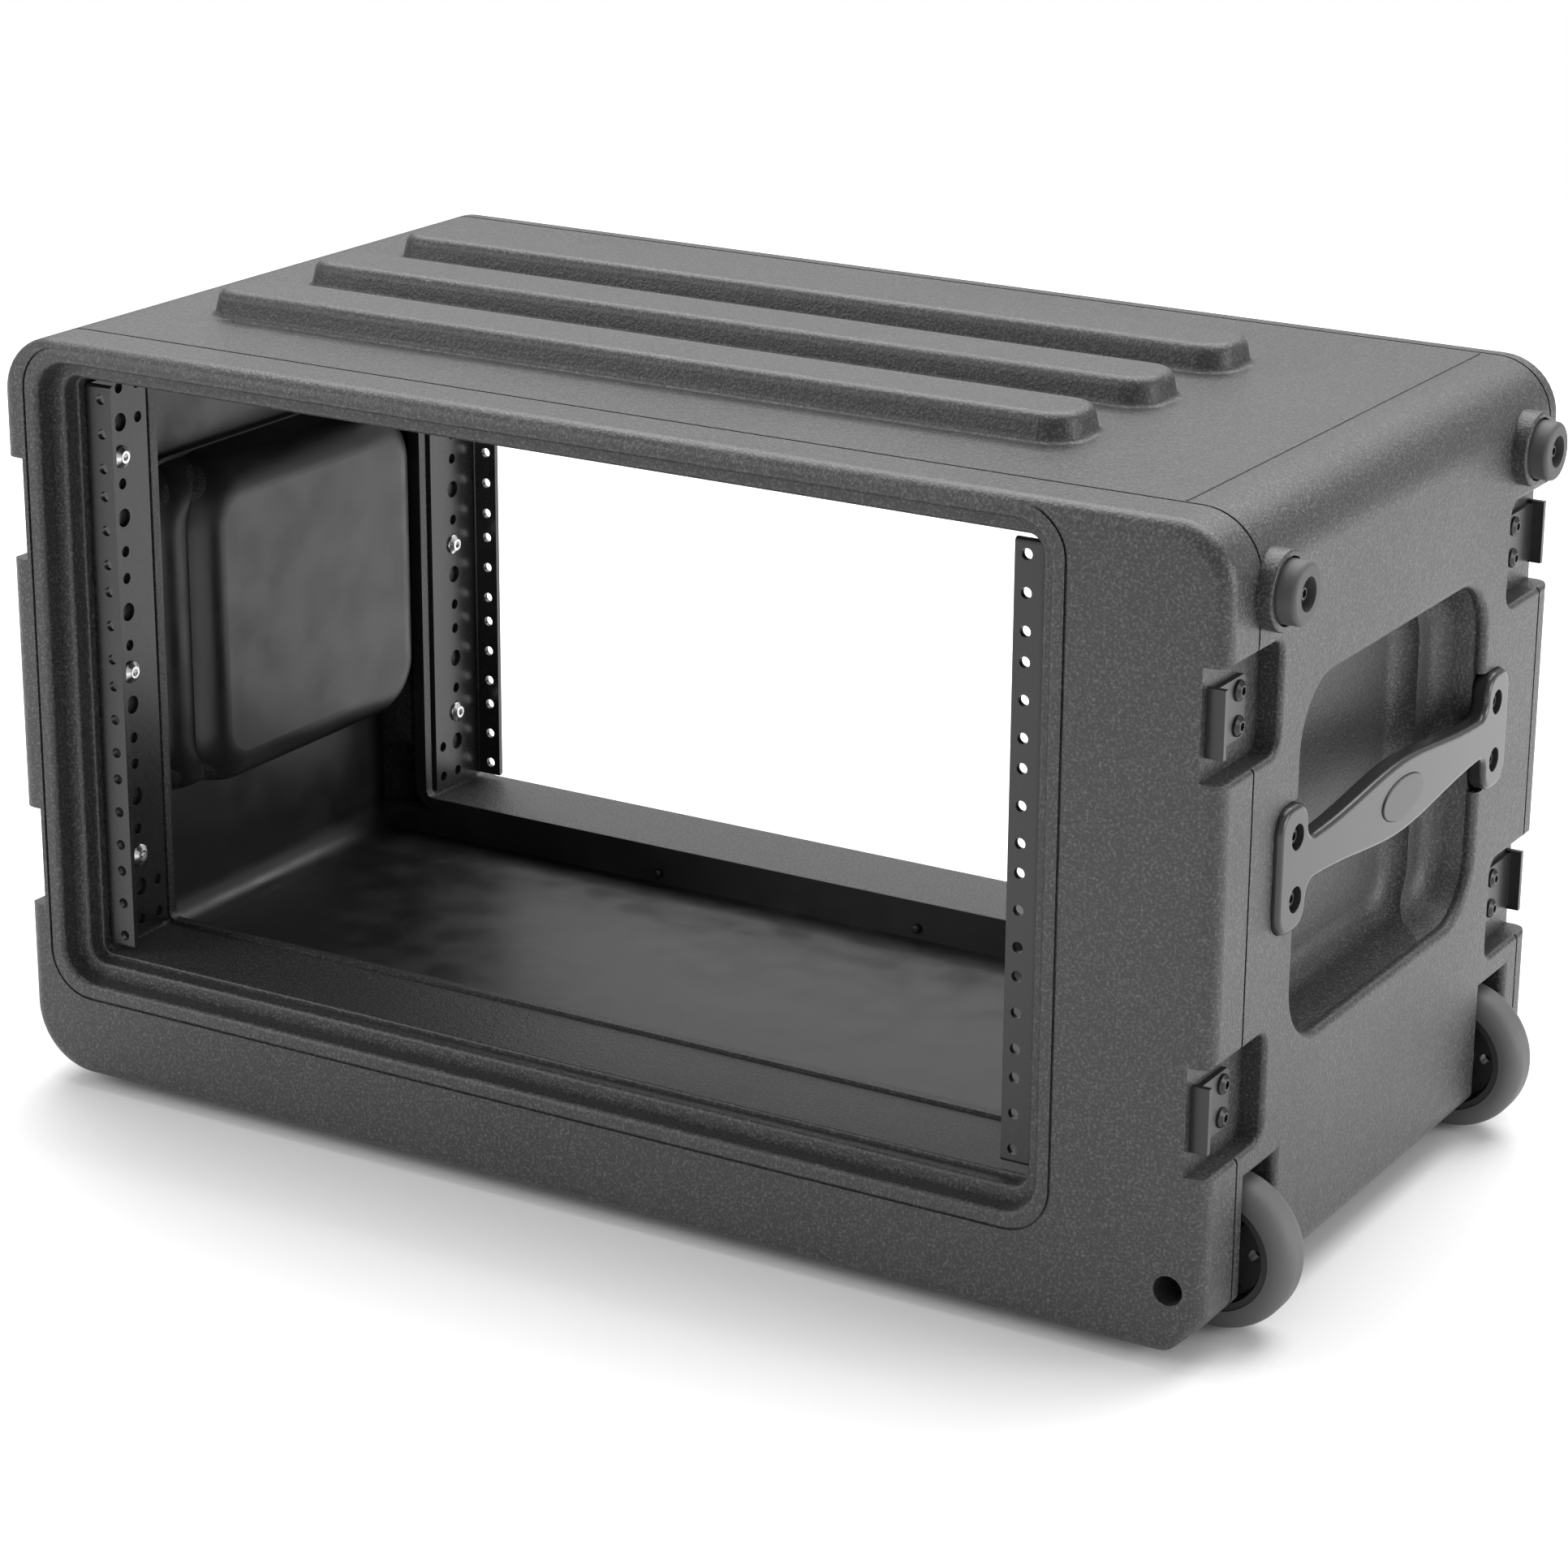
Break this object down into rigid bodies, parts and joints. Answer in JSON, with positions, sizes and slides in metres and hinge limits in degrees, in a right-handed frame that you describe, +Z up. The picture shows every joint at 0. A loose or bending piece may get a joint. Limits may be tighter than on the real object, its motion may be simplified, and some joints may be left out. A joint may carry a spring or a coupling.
{
  "type": "rack equipment case",
  "caption": "Moulded equipment rack case open at front and rear, with steel rack rails, recessed end handles, latch keepers, and wheels and rubber feet at one end.",
  "frame": {"origin": "middle of the case in X and Y, on the surface it stands on", "axes": "+X towards the end with the wheels and the feet, -Y out of the front opening, +Z up"},
  "size_m": [0.6273, 0.337, 0.366],
  "materials": {
    "case_plastic": "fine grained, dark grey",
    "rail_steel": "semi-gloss black",
    "bright_steel": "bright zinc",
    "plain_steel": "plain",
    "black_screws": "blackened",
    "keeper_steel": "satin black",
    "handle_plastic": "satin",
    "medallion_plastic": "satin",
    "foot_rubber": "matte",
    "tyre_rubber": "matte grey",
    "hub_plastic": "matte",
    "bearing_bronze": "plain"
  },
  "bodies": {
    "case": {"case_bottom": "case_plastic", "case_front_ring": "case_plastic", "case_left_end": "case_plastic", "case_rear_ring": "case_plastic", "case_right_end": "case_plastic", "case_top": "case_plastic", "foot_nuts": "plain_steel", "foot_screws": "black_screws", "front_axle": "bright_steel", "front_axle_nut": "plain_steel", "front_foot": "foot_rubber", "front_left_rail": "rail_steel", "front_right_lower_keeper": "keeper_steel", "front_right_rail": "rail_steel", "front_right_upper_keeper": "keeper_steel", "front_spacers": "plain_steel", "handle_nuts": "plain_steel", "handle_plates": "plain_steel", "handle_screws": "black_screws", "keeper_nuts": "plain_steel", "keeper_screws": "black_screws", "left_handle": "handle_plastic", "left_medallion": "medallion_plastic", "rail_nuts": "plain_steel", "rail_screws": "bright_steel", "rear_axle": "bright_steel", "rear_axle_nut": "plain_steel", "rear_foot": "foot_rubber", "rear_left_rail": "rail_steel", "rear_right_lower_keeper": "keeper_steel", "rear_right_rail": "rail_steel", "rear_right_upper_keeper": "keeper_steel", "rear_spacers": "plain_steel", "right_handle": "handle_plastic", "right_medallion": "medallion_plastic"},
    "front_wheel": {"front_tyre": "tyre_rubber", "front_hub": "hub_plastic", "front_bush": "bearing_bronze"},
    "rear_wheel": {"rear_tyre": "tyre_rubber", "rear_hub": "hub_plastic", "rear_bush": "bearing_bronze"}
  },
  "joints": [
    {"name": "front_wheel_turn", "type": "hinge", "parent": "case", "child": "front_wheel", "pos_m": [0.27915, -0.1175, 0.0357], "axis": [0, 1, 0], "continuous": true},
    {"name": "rear_wheel_turn", "type": "hinge", "parent": "case", "child": "rear_wheel", "pos_m": [0.27915, 0.128, 0.0357], "axis": [0, 1, 0], "continuous": true}
  ]
}
